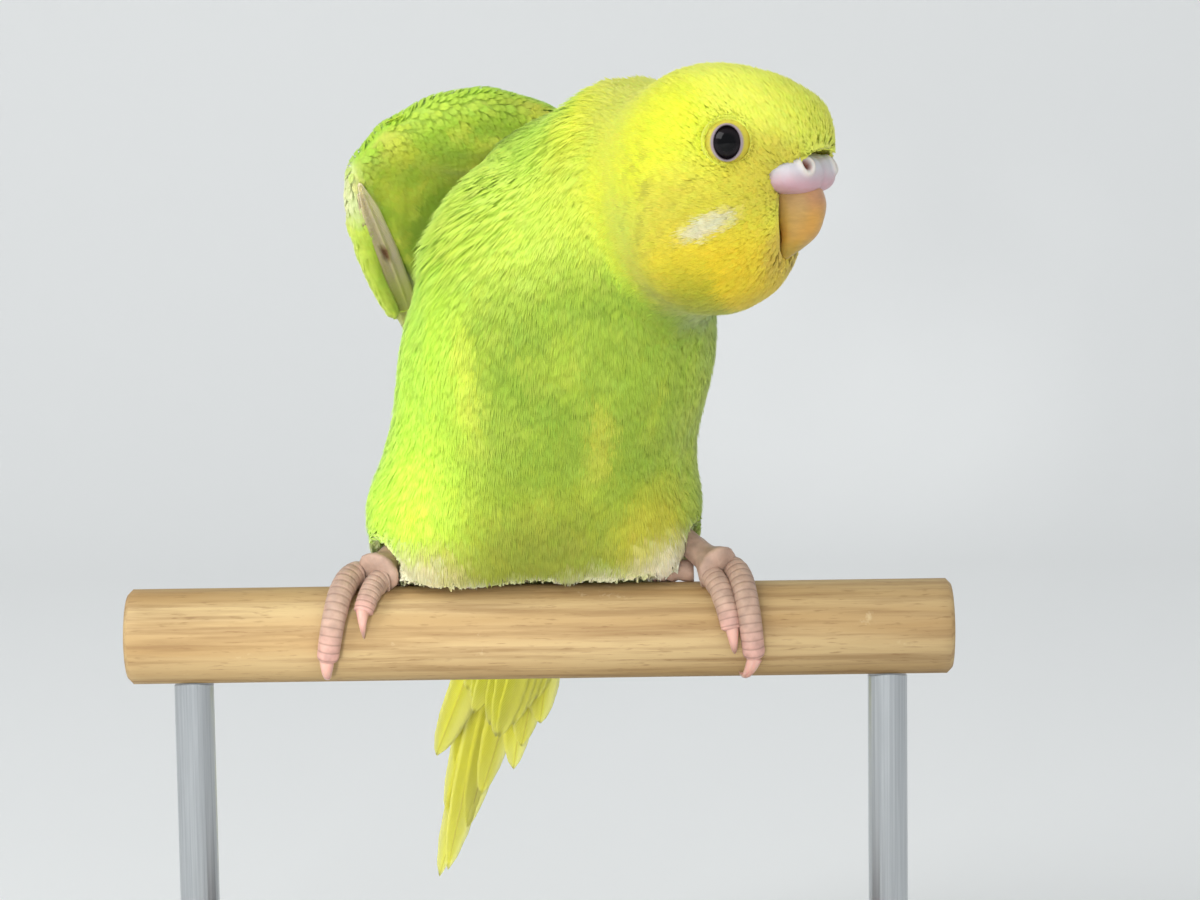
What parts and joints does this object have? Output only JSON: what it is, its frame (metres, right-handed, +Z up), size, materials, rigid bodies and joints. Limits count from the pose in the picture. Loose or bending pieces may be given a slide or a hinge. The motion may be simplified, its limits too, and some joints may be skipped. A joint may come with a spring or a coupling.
{
  "type": "perched small parrot on a display stand",
  "caption": "Life-size still budgerigar gripping a short wooden perch on a plain base, one wing half lifted, head turned to its left.",
  "frame": {"origin": "centre of the underside of the stand's base, midway between the two rods and under the perch", "axes": "+Z up, -Y the way the bird's breast faces, +X the bird's left, along the perch"},
  "size_m": [0.118, 0.1223, 0.1366],
  "materials": {
    "head_plumage": "fine soft feathers, lemon yellow",
    "body_plumage": "soft feathers, lime green mottled with yellow",
    "wing_plumage": "firm feathers, yellow-green, satin",
    "tail_plumage": "firm feathers, yellow, satin",
    "cere": "smooth lilac-pink skin, satin",
    "bill": "smooth horn, peach-yellow, semi-gloss",
    "eye": "wet, near black, glossy",
    "foot_skin": "scaly skin, grey-pink, matt",
    "claw": "horn, pink with a darker tip, semi-gloss",
    "dowel": "bare softwood dowel, matt",
    "base_wood": "dark stained hardwood, satin",
    "rod_metal": "plain rod, brushed"
  },
  "bodies": {
    "root": {"head": "head_plumage", "neck": "head_plumage", "torso": "body_plumage", "thigh_right": "body_plumage", "thigh_left": "body_plumage", "wing_right": "wing_plumage", "wing_left": "wing_plumage", "tail": "tail_plumage", "cere": "cere", "bill_upper": "bill", "bill_lower": "bill", "eye_right": "eye", "eye_left": "eye", "tarsus_right": "foot_skin", "tarsus_left": "foot_skin", "perch": "dowel", "stand_base": "base_wood", "stand_rod_right": "rod_metal", "stand_rod_left": "rod_metal", "toe_right_inner_front": "foot_skin", "claw_right_inner_front": "claw", "toe_right_outer_front": "foot_skin", "claw_right_outer_front": "claw", "toe_right_inner_back": "foot_skin", "claw_right_inner_back": "claw", "toe_right_outer_back": "foot_skin", "claw_right_outer_back": "claw", "toe_left_inner_front": "foot_skin", "claw_left_inner_front": "claw", "toe_left_outer_front": "foot_skin", "claw_left_outer_front": "claw", "toe_left_inner_back": "foot_skin", "claw_left_inner_back": "claw", "toe_left_outer_back": "foot_skin", "claw_left_outer_back": "claw"}
  },
  "joints": []
}
